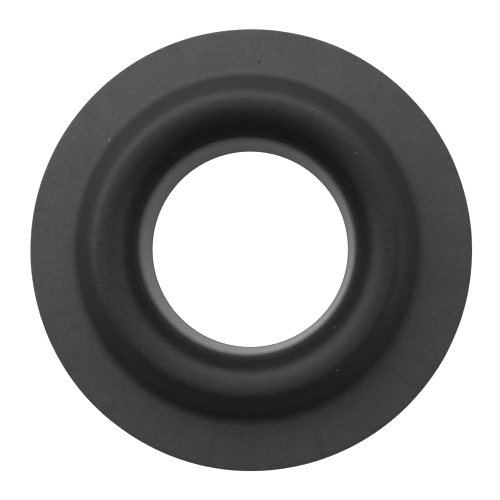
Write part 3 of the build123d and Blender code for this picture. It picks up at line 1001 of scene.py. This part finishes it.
def makeFoamMaterial(name, colour):
    material, tree, shader = newMaterial(name, Specular_IOR_Level=0.35)
    cells = useGroup(tree, foamGroup, Cell_Size=foam["cellSize"] * mm)
    tone = useGroup(tree, mottleGroup, Colour=colour, Patch_Size=6 * mm, Contrast=0.25)
    # painted shade: the foam's colour darkens in the cell hollows
    cellHollowShade = tuple(0.35 * c for c in colour[:3]) + (1.0,)
    shade = mixColour(tree, cells["Shade"], cellHollowShade, tone["Colour"])
    rough = ramp(tree, tone["Mask"], 0.0, 1.0, 0.82, 0.95)
    finishShader(tree, shader, shade, rough, cells["Height"], 0.15 * mm, 0.7)
    return material


foamTree = makeFoamTree()
foamRings = (
    ("floorGasket", makeGasketOutline(), "gasket_foam", "floor_gasket", foam["gasketColour"]),
    ("beadCore", makeCoreOutline(), "core_foam", "bead_core", foam["coreColour"]),
)
for name, outline, slot, node, colour in foamRings:
    ring = applyTree(outlinePiece(name, outline), foamTree, {
        "Segments": foam["segments"], "Unevenness": foam["unevenness"] * mm,
        "Material": makeFoamMaterial(slot.replace("_", " "), colour),
    })
    finishPiece(ring, slot, node)


# Lock ring: the stamped part keeps its shape and gets drawn spring steel

def makeLockSteel():
    material, tree, shader = newMaterial("lock steel", Metallic=1.0)
    streak = useGroup(tree, drawnGroup, Across_Size=0.12 * mm, Along_Axis=0.0)["Streak"]
    tone = useGroup(tree, mottleGroup, Colour=grey(0.4, 0.04), Patch_Size=5 * mm, Contrast=0.4)
    stain = ramp(tree, tone["Mask"], 0.6, 0.95)
    colour = mixColour(tree, times(tree, stain, 0.35), tone["Colour"], (0.16, 0.13, 0.11, 1.0))
    rough = ramp(tree, streak, 0.25, 0.75, 0.26, 0.46)
    finishShader(tree, shader, colour, rough, streak, 0.01 * mm, 0.5)
    return material


lockSteel = makeLockSteel()
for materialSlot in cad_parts["lock_ring"].material_slots:
    materialSlot.material = lockSteel


# Studio: camera, floor and lights

studio = {
    "eye": (10.4, -7.2, 412.7), "aim": (0.9, -0.9, 7.5), "focal": 92.35, "sensor": 36.0,
    "floorSize": 4.0, "floorShade": 0.94, "floorGlow": 1.3, "gleam": 0.042,
    "world": 0.15,
    # angles from +X and up from level, distances and sides in metres, powers in watts
    "row": {
        "count": 4, "first": 65, "last": 170, "elevation": 35, "distance": 0.28, "side": 0.16, "power": 0.2,
    },
    "overhead": {"azimuth": 90, "elevation": 80, "distance": 0.6, "side": 0.3, "power": 0.5},
    "fill": {"azimuth": 0, "elevation": 25, "distance": 0.8, "side": 0.5, "power": 1.2},
}


def aimed(eye, target, up):
    # the turn that points -Z at the target with +Y towards up
    back = (Vector(eye) - Vector(target)).normalized()
    right = Vector(up).cross(back).normalized()
    turn = [[right[n], back.cross(right)[n], back[n]] for n in range(3)]
    return Matrix(turn).to_euler()


camera = bpy.data.objects.new("camera", bpy.data.cameras.new("camera"))
bpy.context.collection.objects.link(camera)
camera.location = Vector(studio["eye"]) * mm
camera.rotation_euler = aimed(studio["eye"], studio["aim"], (0, 1, 0))
camera.data.lens, camera.data.sensor_width = studio["focal"], studio["sensor"]
camera.data.clip_start, camera.data.clip_end = 0.01, 20.0
bpy.context.scene.camera = camera

half = studio["floorSize"] / 2
floorCorners = [(-half, -half, 0), (half, -half, 0), (half, half, 0), (-half, half, 0)]
floorMesh = bpy.data.meshes.new("floor")
floorMesh.from_pydata(floorCorners, [], [(0, 1, 2, 3)])
floor = bpy.data.objects.new("floor", floorMesh)
floor.location.z = cadBox[0][2] - 0.0002
bpy.context.collection.objects.link(floor)

floorMaterial, tree, shader = newMaterial("floor paper", Roughness=0.9, Specular_IOR_Level=0.2)
shader.inputs["Base Color"].default_value = grey(studio["floorShade"])
# the paper burns out to white where it is looked at, partly so in reflections, and lights as plain paper
glow = place(tree, "ShaderNodeEmission", {"Color": grey(1.0), "Strength": studio["floorGlow"]}).outputs[0]
path = place(tree, "ShaderNodeLightPath").outputs
reflected = times(tree, path["Is Glossy Ray"], studio["gleam"])
seen = calc(tree, "MAXIMUM", path["Is Camera Ray"], reflected)
paper = place(tree, "ShaderNodeMixShader", {0: seen, 1: shader.outputs[0], 2: glow}).outputs[0]
tree.links.new(paper, tree.nodes["Material Output"].inputs["Surface"])
floor.data.materials.append(floorMaterial)

world = bpy.data.worlds.new("studio")
world.use_nodes = True
world.node_tree.nodes["Background"].inputs["Color"].default_value = grey(1.0)
world.node_tree.nodes["Background"].inputs["Strength"].default_value = studio["world"]
bpy.context.scene.world = world
bpy.context.scene.view_settings.view_transform = "Standard"


def addBox(name, azimuth, box):
    # a square soft box that faces the part
    lamp = bpy.data.lights.new(name, "AREA")
    lamp.shape, lamp.size, lamp.energy = "SQUARE", box["side"], box["power"]
    stand = bpy.data.objects.new(name, lamp)
    bpy.context.collection.objects.link(stand)
    level, turn = radians(box["elevation"]), radians(azimuth)
    stand.location = Vector((cos(level) * cos(turn), cos(level) * sin(turn), sin(level))) * box["distance"]
    stand.rotation_euler = aimed(stand.location, (0, 0, 0), (0, 0, 1))


# equal boxes stand close round the far and left sides; one above and a broad one on the right fill in
row = studio["row"]
for number in range(row["count"]):
    share = number / (row["count"] - 1)
    addBox(f"row box {number + 1}", row["first"] + (row["last"] - row["first"]) * share, row)
for name in ("overhead", "fill"):
    addBox(name, studio[name]["azimuth"], studio[name])
print("studio ready")
